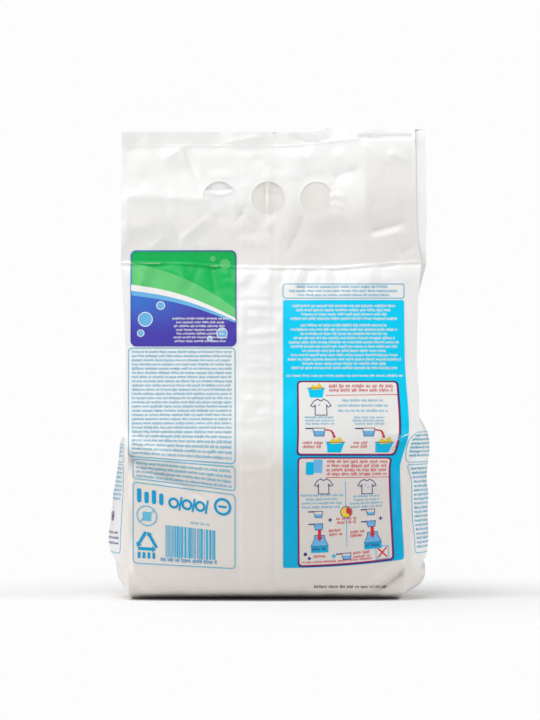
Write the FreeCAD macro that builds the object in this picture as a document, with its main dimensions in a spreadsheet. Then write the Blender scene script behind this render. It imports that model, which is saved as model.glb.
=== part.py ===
import FreeCAD, Part
import os
import Sketcher

# A sealed washing powder bag of white film with tucked side gussets.
# Millimetres. X runs across the printed back, Z is up, and the back faces -Y.
# The powder fills the lower part of the bag, a seal line closes it, and the
# flat carrying flap above the seal has three finger tabs cut in it.

DRIVING_SIZES = {
    "panel_width": 192.0,
    "gusset_half": 40.0,
    "fill_height": 217.0,
    "flap_height": 77.0,
    "weld_height": 9.0,
    "weld_thickness": 1.6,
    "weld_wave": 1.5,
    "weld_curl": 3.0,
    "full_gap": 66.0,
    "full_arch": 16.0,
    "flap_gap": 5.0,
    "flap_arch": 2.2,
    "fold_edge": 0.8,
    "seam_width": 19.0,
    "seam_offset": 7.5,
    "seam_step": 0.4,
    "tab_diameter": 21.5,
    "tab_pitch": 31.7,
    "tab_rise": 43.0,
    "tab_rim": 0.5,
    "tab_tilt": 8.0,
}

# Each level of the filled bag: its height as a share of the fill height, the
# left and right edges of the printed panel as shares of the panel width, the
# left and right gaps between the two panels and the swell of the panels as
# shares of the fullest ones, and how far the middle fold of each gusset stands
# out of the bag (or is tucked in, when negative) as a share of half a gusset.
FILL_LEVELS = {
    "base": (0.000, -0.400, 0.417, 1.10, 1.10, 0.30, 0.06, 0.06),
    "foot": (0.035, -0.430, 0.458, 1.12, 1.12, 0.55, 0.11, 0.18),
    "corner": (0.090, -0.459, 0.487, 1.10, 1.10, 0.78, 0.20, 0.25),
    "low": (0.165, -0.477, 0.494, 1.06, 1.06, 0.95, 0.31, 0.23),
    "lower_print": (0.250, -0.478, 0.494, 1.04, 1.04, 1.00, 0.26, 0.23),
    "middle": (0.340, -0.480, 0.494, 1.02, 1.02, 1.00, 0.18, 0.23),
    "shoulder": (0.430, -0.482, 0.497, 0.97, 0.97, 0.95, 0.11, 0.21),
    "dent": (0.520, -0.480, 0.502, 0.86, 0.90, 0.88, -0.22, 0.17),
    "waist": (0.610, -0.483, 0.506, 0.71, 0.75, 0.77, -0.62, -0.28),
    "chest": (0.710, -0.482, 0.506, 0.56, 0.60, 0.65, -0.80, -0.68),
    "slope": (0.820, -0.486, 0.509, 0.38, 0.41, 0.49, -0.90, -0.87),
    "neck": (0.920, -0.493, 0.514, 0.19, 0.21, 0.31, -0.94, -0.92),
}

# Each level of the flap, the same way, with the gaps and swell as shares of
# the flap's own, and last how far the front panel stands to the right of the
# printed one as a share of the panel width.
FLAP_LEVELS = {
    "seal": (0.00, -0.501, 0.520, 0.50, 0.55, 0.30, -0.95, -0.93, 0.018),
    "tabs": (0.45, -0.496, 0.503, 1.00, 1.70, 1.00, -0.95, -0.82, 0.034),
    "crown": (1.00, -0.496, 0.500, 0.50, 0.60, 0.30, -0.95, -0.82, 0.034),
}

LEVEL_WORDS = (
    "height",
    "left_edge",
    "right_edge",
    "left_gap",
    "right_gap",
    "arch",
    "left_fold",
    "right_fold",
    "shift",
)

document = FreeCAD.newDocument("washing_powder_bag")
sheet = document.addObject("Spreadsheet::Sheet", "Sizes")
sheet_row = 1


def add_cell(alias, content):
    global sheet_row
    sheet.set(f"A{sheet_row}", alias.replace("_", " "))
    sheet.set(f"B{sheet_row}", content)
    sheet.setAlias(f"B{sheet_row}", alias)
    sheet_row += 1


def add_level_cells(name, shares, bottom, height_unit, gap_unit, arch_unit):
    """Work one level's lengths out from the driving sizes, in the sheet."""
    height, left, right, left_gap, right_gap, arch, left_fold, right_fold = shares[:8]
    shift = shares[8] if len(shares) > 8 else 0.0
    contents = (
        f"={bottom} + {height_unit} * {height}",
        f"=panel_width * ({left})",
        f"=panel_width * {right}",
        f"={gap_unit} * {left_gap} / 2",
        f"={gap_unit} * {right_gap} / 2",
        f"={arch_unit} * {arch}",
        f"=panel_width * ({left}) - gusset_half * ({left_fold})",
        f"=panel_width * ({right}) + gusset_half * ({right_fold})",
        f"=panel_width * {shift}",
    )
    for word, content in zip(LEVEL_WORDS, contents):
        add_cell(f"{name}_{word}", content)


for alias, size in DRIVING_SIZES.items():
    add_cell(alias, str(size))
for level, shares in FILL_LEVELS.items():
    add_level_cells(level, shares, "0", "fill_height", "full_gap", "full_arch")
for level, shares in FLAP_LEVELS.items():
    add_level_cells(level, shares, "fill_height", "flap_height", "flap_gap", "flap_arch")
document.recompute()

body = document.addObject("PartDesign::Body", "Bag")
body.Label = "powder_bag"


def plane_of(role):
    for feature in body.Origin.OriginFeatures:
        if feature.Role == role:
            return feature
    raise RuntimeError("no plane " + role)


def value_of(expression):
    return float(body.evalExpression(expression))


def new_sketch(name, role, offset_expression):
    sketch = body.newObject("Sketcher::SketchObject", name)
    sketch.AttachmentSupport = (plane_of(role), [""])
    sketch.MapMode = "FlatFace"
    sketch.setExpression("AttachmentOffset.Base.z", offset_expression)
    return sketch


def bind(sketch, kind, geometry, point, expression):
    """Hold one coordinate of a sketch point at an expression's value."""
    constraint = Sketcher.Constraint(kind, -1, 1, geometry, point, value_of(expression))
    index = sketch.addConstraint(constraint)
    sketch.setExpression(f"Constraints[{index}]", expression)


def add_outline(sketch, corners, swells):
    """Draw a closed outline through corners, both given as expressions.

    Between two corners runs a straight line, or an arc that stands out of the
    outline by the swell there, or into it where the swell is negative.
    """
    points = [FreeCAD.Vector(value_of(x), value_of(y), 0) for x, y in corners]
    count = len(corners)
    first_point = [1] * count
    for index in range(count):
        start = points[index]
        end = points[(index + 1) % count]
        if swells[index] is None:
            sketch.addGeometry(Part.LineSegment(start, end))
            continue
        along = end - start
        outward = FreeCAD.Vector(along.y, -along.x, 0)
        outward.normalize()
        swell = value_of(swells[index])
        sketch.addGeometry(Part.Arc(start, (start + end) * 0.5 + outward * swell, end))
        if swell < 0:
            first_point[index] = 2
    for index in range(count):
        following = (index + 1) % count
        x, y = corners[index]
        bind(sketch, "DistanceX", index, first_point[index], x)
        bind(sketch, "DistanceY", index, first_point[index], y)
        sketch.addConstraint(
            Sketcher.Constraint(
                "Coincident", index, 3 - first_point[index], following, first_point[following]
            )
        )
    for index in range(count):
        if swells[index] is None:
            continue
        x1, y1 = corners[index]
        x2, y2 = corners[(index + 1) % count]
        swell = swells[index]
        chord_squared = f"(({x2}) - ({x1}))^2 + (({y2}) - ({y1}))^2"
        radius = f"(({chord_squared}) / 4 + ({swell})^2) / (2 * abs({swell}))"
        row = sketch.addConstraint(Sketcher.Constraint("Radius", index, value_of(radius)))
        sketch.setExpression(f"Constraints[{row}]", radius)


def add_level(name):
    """Draw the bag's section at one level: two panels and two gussets."""
    left = f"Sizes.{name}_left_edge"
    right = f"Sizes.{name}_right_edge"
    left_gap = f"Sizes.{name}_left_gap"
    right_gap = f"Sizes.{name}_right_gap"
    arch = f"Sizes.{name}_arch"
    shift = f"Sizes.{name}_shift"
    fold = "Sizes.fold_edge"
    width = f"({right} - {left})"
    seam_left = "(-Sizes.seam_offset - Sizes.seam_width / 2)"
    seam_right = "(-Sizes.seam_offset + Sizes.seam_width / 2)"

    def panel_depth(x):
        place = f"(({x}) - {left}) / {width}"
        edge = f"{left_gap} + ({right_gap} - {left_gap}) * {place}"
        return f"-({edge} + 4 * {arch} * {place} * (1 - {place}))"

    corners = [
        (left, f"-{left_gap}"),
        (seam_left, panel_depth(seam_left)),
        (seam_left, f"{panel_depth(seam_left)} - Sizes.seam_step"),
        (seam_right, f"{panel_depth(seam_right)} - Sizes.seam_step"),
        (seam_right, panel_depth(seam_right)),
        (right, f"-{right_gap}"),
        (right, f"-{right_gap} + {fold}"),
        (f"Sizes.{name}_right_fold", "0"),
        (f"{right} + {shift}", f"{right_gap} - {fold}"),
        (f"{right} + {shift}", f"{right_gap}"),
        (f"{left} + {shift}", f"{left_gap}"),
        (f"{left} + {shift}", f"{left_gap} - {fold}"),
        (f"Sizes.{name}_left_fold", "0"),
        (left, f"-{left_gap} + {fold}"),
    ]
    swells = [
        f"{arch} * (({seam_left} - {left}) / {width})^2",
        None,
        f"{arch} * (Sizes.seam_width / {width})^2",
        None,
        f"{arch} * (({right} - {seam_right}) / {width})^2",
        None,
        f"{right_gap} * 0.05",
        f"{right_gap} * 0.05",
        None,
        arch,
        None,
        f"{left_gap} * 0.05",
        f"{left_gap} * 0.05",
        None,
    ]
    sketch = new_sketch("Level_" + name, "XY_Plane", f"Sizes.{name}_height")
    add_outline(sketch, corners, swells)
    return sketch


def add_loft(name, sketches, ruled):
    loft = body.newObject("PartDesign::AdditiveLoft", name)
    loft.Profile = sketches[0]
    loft.Sections = sketches[1:]
    loft.Ruled = ruled
    body.Tip = loft
    return loft


# The filled part of the bag, from its flat base to the seal line
fill_sketches = [add_level(level) for level in FILL_LEVELS]
seal_sketch = add_level("seal")
document.recompute()
add_loft("Filled_part", fill_sketches + [seal_sketch], False)
document.recompute()

# The flat carrying flap above the seal line, slightly puffed
flap_foot = add_level("seal")
flap_sketches = [add_level("tabs"), add_level("crown")]
add_loft("Flap", [flap_foot] + flap_sketches, False)
document.recompute()


def add_strip_section(name, height, wave, curl):
    """Draw the top weld as a thin strip of three waves, the last one curled."""
    half = "Sizes.weld_thickness / 2"
    left = "Sizes.crown_left_edge"
    step = "(Sizes.crown_right_edge - Sizes.crown_left_edge) / 3"
    places = [left, f"{left} + {step}", f"{left} + 2 * {step}", f"{left} + 3 * {step}"]
    corners = [(place, f"-{half}") for place in places]
    corners += [(place, half) for place in reversed(places)]
    swells = [f"-{wave}", wave, f"-{curl}", None, curl, f"-{wave}", wave, None]
    sketch = new_sketch(name, "XY_Plane", height)
    add_outline(sketch, corners, swells)
    return sketch


# The top weld, pressed flat and gently crumpled
strip_foot = add_strip_section("Weld_foot", "Sizes.crown_height", "0.2", "0.2")
strip_top = add_strip_section(
    "Weld_top", "Sizes.crown_height + Sizes.weld_height", "Sizes.weld_wave", "Sizes.weld_curl"
)
add_loft("Top_weld", [strip_foot, strip_top], True)
document.recompute()

# The three finger tabs, still in place and pushed in a little at the top
tab_plane = body.newObject("PartDesign::Plane", "Tab_plane")
tab_plane.AttachmentSupport = (plane_of("XZ_Plane"), [""])
tab_plane.MapMode = "FlatFace"
tab_plane.setExpression("AttachmentOffset.Base.x", "-Sizes.tab_pitch")
tab_plane.setExpression(
    "AttachmentOffset.Base.y", "Sizes.fill_height + Sizes.tab_rise - Sizes.tab_diameter / 2"
)
tab_plane.setExpression(
    "AttachmentOffset.Base.z", "Sizes.flap_gap / 2 + Sizes.flap_arch - Sizes.tab_rim"
)
tab_plane.setExpression("AttachmentOffset.Rotation.Axis.x", "1")
tab_plane.setExpression("AttachmentOffset.Rotation.Axis.z", "0")
tab_plane.setExpression("AttachmentOffset.Rotation.Angle", "-Sizes.tab_tilt")
document.recompute()


def add_tab_circle(name):
    sketch = body.newObject("Sketcher::SketchObject", name)
    sketch.AttachmentSupport = (tab_plane, [""])
    sketch.MapMode = "FlatFace"
    radius = value_of("Sizes.tab_diameter / 2")
    sketch.addGeometry(
        Part.Circle(FreeCAD.Vector(0, radius, 0), FreeCAD.Vector(0, 0, 1), radius)
    )
    sketch.addConstraint(Sketcher.Constraint("PointOnObject", 0, 3, -2))
    bind(sketch, "DistanceY", 0, 3, "Sizes.tab_diameter / 2")
    index = sketch.addConstraint(Sketcher.Constraint("Diameter", 0, 2 * radius))
    sketch.setExpression(f"Constraints[{index}]", "Sizes.tab_diameter")
    return sketch


tab_disc = body.newObject("PartDesign::Pad", "Tab_disc")
tab_disc.Profile = add_tab_circle("Tab_disc_outline")
tab_disc.Reversed = True
tab_disc.setExpression("Length", "Sizes.flap_gap + 2 * Sizes.flap_arch - Sizes.tab_rim")
body.Tip = tab_disc
document.recompute()

tab_recess = body.newObject("PartDesign::Pocket", "Tab_recess")
tab_recess.Profile = add_tab_circle("Tab_recess_outline")
tab_recess.Reversed = True
tab_recess.setExpression("Length", "Sizes.flap_gap + 2 * Sizes.flap_arch")
body.Tip = tab_recess
document.recompute()

tabs = body.newObject("PartDesign::LinearPattern", "Finger_tabs")
tabs.Originals = [tab_disc, tab_recess]
tabs.Direction = (tab_recess.Profile[0], ["H_Axis"])
tabs.setExpression("Length", "2 * Sizes.tab_pitch")
tabs.Occurrences = 3
body.Tip = tabs
document.recompute()

os.makedirs("parts", exist_ok=True)
for item in document.Objects:
    if "Invalid" in item.State or "Error" in item.State:
        raise RuntimeError(item.Name + " failed")
shape = body.Shape
if shape.isNull() or not shape.isValid():
    raise RuntimeError("the bag's shape isn't valid")
shape.exportStep("parts/powder_bag.step")
print(len(shape.Solids), "solid", round(shape.Volume / 1e6, 3), "litres", shape.BoundBox)
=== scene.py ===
import math
import random

import bpy
import numpy as np
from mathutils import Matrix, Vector
from mathutils.geometry import tessellate_polygon


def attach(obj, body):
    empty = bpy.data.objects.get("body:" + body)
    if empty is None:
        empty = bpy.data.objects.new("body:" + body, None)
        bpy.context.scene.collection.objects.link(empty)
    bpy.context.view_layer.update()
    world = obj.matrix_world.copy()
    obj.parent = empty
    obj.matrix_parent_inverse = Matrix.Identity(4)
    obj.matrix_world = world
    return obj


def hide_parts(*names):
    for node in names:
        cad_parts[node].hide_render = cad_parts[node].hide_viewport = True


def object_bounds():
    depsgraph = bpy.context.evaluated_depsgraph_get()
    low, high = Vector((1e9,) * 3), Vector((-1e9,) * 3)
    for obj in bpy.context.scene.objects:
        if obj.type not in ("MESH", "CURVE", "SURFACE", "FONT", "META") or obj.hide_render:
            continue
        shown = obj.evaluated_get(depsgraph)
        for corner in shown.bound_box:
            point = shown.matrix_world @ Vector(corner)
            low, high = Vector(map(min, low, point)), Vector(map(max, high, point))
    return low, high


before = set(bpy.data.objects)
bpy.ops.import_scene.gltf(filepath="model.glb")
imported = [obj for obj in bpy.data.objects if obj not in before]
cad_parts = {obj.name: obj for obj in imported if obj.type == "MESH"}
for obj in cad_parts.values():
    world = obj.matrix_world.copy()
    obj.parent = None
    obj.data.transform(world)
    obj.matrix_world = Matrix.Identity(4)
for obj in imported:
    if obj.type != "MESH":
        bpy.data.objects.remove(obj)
cad_low, cad_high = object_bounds()

# Lengths below are millimetres of the real bag, which is 303 mm high, and MM
# turns them into the frame's metres. X runs across the printed back, which
# faces -Y, and Z is up.
BAG_HEIGHT = 303.0
MM = (cad_high[2] - cad_low[2]) / BAG_HEIGHT
SEAL_HEIGHT = 217.0
WELD_FOOT = 294.0
PANEL_WIDTH = 192.0
GUSSET_HALF = 40.0

# Space between the two panels' edges, and how far each panel swells beyond it
# at its middle, in the filled part and in the flap
FULL_GAP = 66.0
FULL_ARCH = 16.0
FLAP_GAP = 5.0
FLAP_ARCH = 2.2

# Edges of the lap seam down the back, and where the weld's curled end starts
SEAM_LEFT = -17.0
SEAM_RIGHT = 2.0
CURL_START = 31.0

# The finger tabs
TAB_RADIUS = 10.75
TAB_PITCH = 31.7
TAB_HEIGHT = 260.0

# The camera stands level, straight in front of the printed back
CAMERA_DISTANCE = 2400.0
CAMERA_HEIGHT = 154.5
CAMERA_SIDE = 1.3
SEEN_HEIGHT = 469.4

# Sizes of the mesh's cells on the printed panel and on the other sides, and
# how far each layer of print stands off the film
CELL = 1.1
SIDE_CELL = 2.2
PRINT_LIFTS = (0.14, 0.20, 0.26, 0.32, 0.38, 0.44, 0.50)

# Where the printed panel's rows are closer together: from, to and their step
FINE_ROWS = (
    (-1, 3, 0.3),
    (SEAL_HEIGHT - 6, SEAL_HEIGHT + 6, 0.45),
    (WELD_FOOT - 3, BAG_HEIGHT, 0.5),
)

# The levels of the filled part: height as a share of the seal's, left and
# right edges of the printed panel as shares of its width, left and right gaps
# and swell of the panels as shares of the fullest, and how far the left and
# right gusset folds stand out (or are tucked in) as shares of half a gusset.
FILL_LEVELS = (
    (0.000, -0.460, 0.442, 0.42, 0.42, -0.35, 0.00, 0.01),
    (0.003, -0.463, 0.445, 0.51, 0.51, -0.20, 0.01, 0.02),
    (0.010, -0.465, 0.448, 0.75, 0.75, 0.05, 0.03, 0.06),
    (0.020, -0.466, 0.450, 0.98, 0.98, 0.32, 0.07, 0.14),
    (0.030, -0.466, 0.452, 1.06, 1.06, 0.46, 0.10, 0.23),
    (0.045, -0.466, 0.453, 1.10, 1.10, 0.60, 0.14, 0.31),
    (0.090, -0.466, 0.459, 1.10, 1.10, 0.78, 0.25, 0.38),
    (0.165, -0.466, 0.460, 1.06, 1.06, 0.95, 0.36, 0.40),
    (0.250, -0.467, 0.450, 1.04, 1.04, 1.00, 0.31, 0.44),
    (0.340, -0.468, 0.450, 1.02, 1.02, 1.00, 0.23, 0.43),
    (0.430, -0.470, 0.430, 0.97, 0.97, 0.95, 0.18, 0.54),
    (0.470, -0.478, 0.446, 0.93, 0.95, 0.93, 0.10, 0.46),
    (0.500, -0.484, 0.490, 0.89, 0.92, 0.90, -0.10, 0.22),
    (0.530, -0.482, 0.508, 0.85, 0.89, 0.87, -0.30, 0.06),
    (0.610, -0.483, 0.508, 0.71, 0.75, 0.77, -0.62, -0.30),
    (0.710, -0.481, 0.502, 0.56, 0.60, 0.65, -0.80, -0.68),
    (0.820, -0.485, 0.505, 0.38, 0.41, 0.49, -0.90, -0.87),
    (0.920, -0.492, 0.511, 0.19, 0.21, 0.31, -0.94, -0.92),
    (1.000, -0.501, 0.520, 0.04, 0.05, 0.04, -0.95, -0.93),
)

# The levels of the flap above the seal, the same way, with heights as shares
# of the flap's.
FLAP_LEVELS = (
    (0.000, -0.501, 0.520, 0.50, 0.50, 0.30, -0.95, -0.93),
    (0.200, -0.497, 0.508, 0.80, 0.09, 0.80, -0.95, -0.88),
    (0.500, -0.496, 0.503, 1.00, 0.09, 1.00, -0.95, -0.82),
    (0.800, -0.496, 0.502, 0.80, 0.09, 0.70, -0.95, -0.82),
    (0.895, -0.496, 0.500, 0.30, 0.20, 0.20, -0.95, -0.82),
    (1.000, -0.496, 0.500, 0.20, 0.24, 0.10, -0.95, -0.82),
)

# Creases of the flap: start, end, width and height out of the film
FLAP_CREASES = (
    ((-98, 261), (-58, 260), 5.0, 1.1),
    ((-66, 260), (-38, 258.5), 4.0, 1.0),
    ((-70, 284), (-50, 296), 3.5, 1.1),
    ((-58, 296), (-42, 262), 2.5, -0.8),
    ((-36, 249), (-58, 232), 2.2, 0.7),
    ((-30, 246), (-12, 226), 2.2, 0.8),
    ((-14, 256), (-22, 243), 1.8, -0.7),
    ((-20, 252), (-2, 240), 2.6, -0.8),
    ((2, 249), (14, 234), 2.6, 0.9),
    ((10, 222), (24, 250), 3.0, -0.9),
    ((42, 252), (60, 240), 2.2, 0.6),
    ((40, 262), (52, 260), 1.4, 0.7),
    ((41, 257), (50, 253), 1.3, 0.7),
    ((40, 272), (60, 281), 3.6, -1.1),
    ((44, 292), (58, 278), 3.0, 1.0),
    ((60, 296), (80, 282), 2.8, 0.8),
    ((20, 292), (36, 276), 2.8, 0.8),
    ((-10, 288), (12, 276), 2.2, -0.6),
    ((62, 237), (92, 245), 3.0, -1.5),
    ((66, 234), (90, 238), 3.2, 1.0),
    ((78, 290), (92, 284), 2.2, 0.9),
    ((84, 222), (98, 232), 2.2, -0.7),
    ((-93, 294), (-78, 301), 1.8, -0.4),
    ((-30, 296), (0, 301), 1.6, 0.7),
    ((14, 301), (30, 296), 1.6, -0.7),
)

# Bumps and dents of the flap: centre, radii across and up, and height
FLAP_BUMPS = (
    ((-82, 241), 7, 5, 1.5),
    ((-80, 233), 7, 4, -1.0),
    ((-40, 229), 6, 5, 1.1),
    ((-48, 226), 6, 5, -0.7),
    ((-9, 238), 9, 3, -1.0),
    ((-8, 231), 9, 3, 0.8),
    ((26, 228), 8, 6, 0.9),
    ((56, 256), 12, 16, 1.1),
    ((0, 246), 7, 5, -0.9),
    ((33, 246), 8, 5, 0.8),
    ((-32, 275), 9, 3, 1.0),
    ((-32, 247), 8, 3, -0.6),
    ((0, 274), 5, 3, 0.8),
    ((18, 276), 6, 4, 0.8),
)

# Folds of the filled part, where the gussets swell out below their tucks and at
# the foot's corners
BODY_CREASES = (
    ((-98, 107), (-60, 88), 4.4, 3.4),
    ((-98, 97), (-32, 64), 4.6, -4.2),
    ((-72, 94), (-26, 76), 4.5, 2.2),
    ((-92, 84), (-84, 60), 4.0, 0.8),
    ((76, 107), (98, 104), 3.5, 2.6),
    ((66, 98), (86, 97), 4.0, -2.2),
    ((82, 84), (78, 52), 4.0, 0.8),
    ((60, 96), (84, 90), 5.0, -0.9),
    ((64, 3.5), (98, 26), 1.9, -2.8),
    ((62, 8), (96, 31), 3.0, 1.8),
    ((66, -1), (98, 13), 2.2, 1.6),
    ((-90, 22), (-70, 3), 3.0, 1.4),
)

# Bumps and dents of the filled part
BODY_BUMPS = (
    ((-14, 100), 12, 9, 0.8),
    ((-2, 92), 8, 6, -0.7),
    ((6, 84), 9, 8, 0.6),
    ((-40, 60), 30, 22, 0.6),
    ((40, 120), 30, 26, 0.5),
    ((-50, 150), 30, 26, 0.4),
)

# All that is random is drawn from this, in the same order each run
chance = random.Random(7)


def from_srgb(red, green, blue):
    """A colour given as 0 to 255 in sRGB, made linear."""
    channels = []
    for channel in (red, green, blue):
        part = channel / 255
        channels.append(part / 12.92 if part <= 0.04045 else ((part + 0.055) / 1.055) ** 2.4)
    return tuple(channels)


def smooth_curve(knots, values, at):
    """Run smoothly through the values at the knots, without overshooting."""
    knots = np.asarray(knots, dtype=float)
    values = np.asarray(values, dtype=float)
    steps = np.diff(knots)
    slopes = np.diff(values) / steps
    same_way = slopes[:-1] * slopes[1:] > 0
    joined = np.where(same_way, slopes[:-1] + slopes[1:], 1.0)
    inner = np.where(same_way, 2 * slopes[:-1] * slopes[1:] / joined, 0.0)
    tangents = np.concatenate(([slopes[0]], inner, [slopes[-1]]))
    spot = np.clip(np.searchsorted(knots, at) - 1, 0, len(steps) - 1)
    t = np.clip((at - knots[spot]) / steps[spot], 0, 1)
    start_value = (1 + 2 * t) * (1 - t) ** 2 * values[spot]
    start_slope = t * (1 - t) ** 2 * steps[spot] * tangents[spot]
    end_value = t * t * (3 - 2 * t) * values[spot + 1]
    end_slope = t * t * (1 - t) * steps[spot] * tangents[spot + 1]
    return start_value + start_slope + end_value - end_slope


def ramp(low, high, at):
    """0 below low, 1 above high, and smooth between them."""
    t = np.clip((at - low) / (high - low), 0, 1)
    return t * t * (3 - 2 * t)


def window(low, high, edge, at):
    """1 between low and high, falling smoothly to 0 over an edge outside them."""
    return ramp(low - edge, low, at) * (1 - ramp(high, high + edge, at))


def bell(middle, width, at):
    """1 at the middle, falling smoothly to 0 about two widths from it."""
    return np.exp(-(((at - middle) / width) ** 2))


# The form of the bag: its section at any height


def seal_rise(x):
    """How far the seal line stands above its mean height."""
    return smooth_curve((-96, -60, -12, 40, 75, 104), (0.9, 0.3, -2.2, -2.4, 0.2, 2.2), x)


def section(z):
    """Edges, gaps, swell and gusset folds of the section at heights z.

    shift is how far the front panel stands to the right of the printed one.
    """
    filled = np.array(FILL_LEVELS)
    flap = np.array(FLAP_LEVELS)
    fill_share = np.clip(z / SEAL_HEIGHT, 0, 1)
    flap_share = np.clip((z - SEAL_HEIGHT) / (BAG_HEIGHT - SEAL_HEIGHT), 0, 1)

    def column(number, fill_unit, flap_unit):
        below = smooth_curve(filled[:, 0], filled[:, number], fill_share) * fill_unit
        above = smooth_curve(flap[:, 0], flap[:, number], flap_share) * flap_unit
        return np.where(z > SEAL_HEIGHT, above, below)

    return {
        "left": column(1, PANEL_WIDTH, PANEL_WIDTH),
        "right": column(2, PANEL_WIDTH, PANEL_WIDTH),
        "left_gap": column(3, FULL_GAP / 2, FLAP_GAP / 2),
        "right_gap": column(4, FULL_GAP / 2, FLAP_GAP / 2),
        "arch": column(5, FULL_ARCH, FLAP_ARCH),
        "left_fold": -column(6, GUSSET_HALF, GUSSET_HALF),
        "right_fold": column(7, GUSSET_HALF, GUSSET_HALF),
        "shift": smooth_curve((195, SEAL_HEIGHT, 243), (0, 3.5, 6.5), z),
    }


def weld_foot(x):
    """Height of the weld's lower edge, which climbs towards the curled right end."""
    climb = 4.0
    return WELD_FOOT + climb * ramp(5, 62, x)


def lean(x, z):
    """How far the flap and its weld lean away from the camera, towards +Y."""
    flap = np.clip((z - SEAL_HEIGHT) / (WELD_FOOT - SEAL_HEIGHT), 0, 1)
    waves = 2.0 * flap * np.sin((x + 40) / 45.0)
    hollow = -2.2 * ramp(SEAL_HEIGHT, 262, z) + 0.10 * np.clip(z - 258, 0, 40) * ramp(252, 276, z)
    in_weld = np.clip(z - weld_foot(x), 0, 10)
    curl = 0.62 * ramp(CURL_START - 5, CURL_START + 13, x)
    tilt = curl - 0.20 - 0.35 * bell(-70, 12, x)
    ripple = 0.14 * np.sin(x / 6.3) + 0.10 * np.sin(x / 2.9)
    return waves + hollow + in_weld * (tilt + ripple)


def top_rise(x, z):
    """How far the weld's top edge stands above its even height: a curled end and a notch."""
    rise = 2.2 * ramp(CURL_START, CURL_START + 7, x) - 1.6 * bell(CURL_START, 2.5, x)
    return rise * ramp(WELD_FOOT, BAG_HEIGHT, z)


# Relief of the printed panel: its creases, puckers and dents


def crease(x, z, start, end, width, height, sharp=True):
    """A ridge or groove from start to end, tapered at both ends."""
    across = end[0] - start[0]
    up = end[1] - start[1]
    length = math.hypot(across, up)
    along = ((x - start[0]) * across + (z - start[1]) * up) / length**2
    away = np.abs((x - start[0]) * up - (z - start[1]) * across) / length
    taper = window(0.25, 0.75, 0.3, along)
    if sharp:
        rounding = math.sqrt(0.2 * width)
        profile = np.exp((rounding - np.hypot(away, rounding)) / width)
    else:
        profile = bell(0, width, away)
    return height * taper * profile


def bump(x, z, centre, radius_x, radius_z, height):
    """A soft bump, or a dent where the height is negative."""
    distance = ((x - centre[0]) / radius_x) ** 2 + ((z - centre[1]) / radius_z) ** 2
    return height * np.exp(-distance)


def scattered_creases(count, low, high, length, height):
    """Small creases at random places between two corners."""
    creases = []
    for _ in range(count):
        x = chance.uniform(low[0], high[0])
        z = chance.uniform(low[1], high[1])
        turn = chance.uniform(0, math.pi)
        reach = chance.uniform(0.5, 1.0) * length
        end = (x + reach * math.cos(turn), z + reach * math.sin(turn))
        rise = chance.choice((-1, 1)) * chance.uniform(0.3, 1.0) * height
        creases.append(((x, z), end, chance.uniform(1.2, 2.6), rise))
    return creases


def scattered_bumps(count, low, high, radius, height):
    """Soft bumps and dents at random places between two corners."""
    bumps = []
    for _ in range(count):
        centre = (chance.uniform(low[0], high[0]), chance.uniform(low[1], high[1]))
        radius_x = chance.uniform(0.35, 1.0) * radius
        radius_z = chance.uniform(0.35, 1.0) * radius
        bumps.append((centre, radius_x, radius_z, chance.uniform(-1, 1) * height))
    return bumps


def seam_puckers():
    """Short level ridges across the lap seam, where its film is gathered."""
    puckers = []
    z = SEAL_HEIGHT - 6
    while z > 74:
        start = SEAM_LEFT + chance.uniform(-1, 4)
        end = (SEAM_RIGHT + chance.uniform(2, 9), z + chance.uniform(-3, 3))
        puckers.append(((start, z), end, 2.0, chance.uniform(-0.3, 0.95)))
        z -= chance.uniform(5.5, 9.0)
    return puckers


def seal_puckers():
    """Short steep ridges under the seal line, where the film is pinched."""
    puckers = []
    x = -92.0
    while x < 98:
        top = SEAL_HEIGHT + float(seal_rise(x)) + 1
        foot = (x + chance.uniform(-13, 13), top - chance.uniform(8, 24))
        puckers.append(((x, top), foot, chance.uniform(1.8, 4.5), chance.uniform(-1.1, 1.3)))
        x += chance.uniform(4, 10)
    return puckers


SMALL_CREASES = scattered_creases(40, (-90, 222), (96, 292), 24, 0.30)
SMALL_CREASES += scattered_creases(110, (-92, 220), (98, 294), 11, 0.22)
SMALL_CREASES += scattered_creases(46, (-86, 112), (90, 206), 26, 0.16)
SMALL_CREASES += scattered_creases(36, (-86, 10), (90, 104), 24, 0.18)
SMALL_BUMPS = scattered_bumps(70, (-92, 222), (98, 292), 12, 1.2)
SMALL_BUMPS += scattered_bumps(60, (-88, 20), (92, 212), 16, 1.1)
SMALL_BUMPS += scattered_bumps(40, (-20, 70), (8, 214), 6, 0.8)
SMALL_BUMPS += scattered_bumps(30, (-86, 1), (80, 10), 5, 0.9)
FRONT_CREASES = scattered_creases(60, (-90, 222), (96, 292), 24, 0.5)
FRONT_CREASES += scattered_creases(60, (-86, 10), (90, 206), 28, 0.4)
PUCKERS = seam_puckers() + seal_puckers()
TAB_PLACES = [(-TAB_PITCH, TAB_HEIGHT), (0.0, TAB_HEIGHT), (TAB_PITCH, TAB_HEIGHT)]


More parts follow.
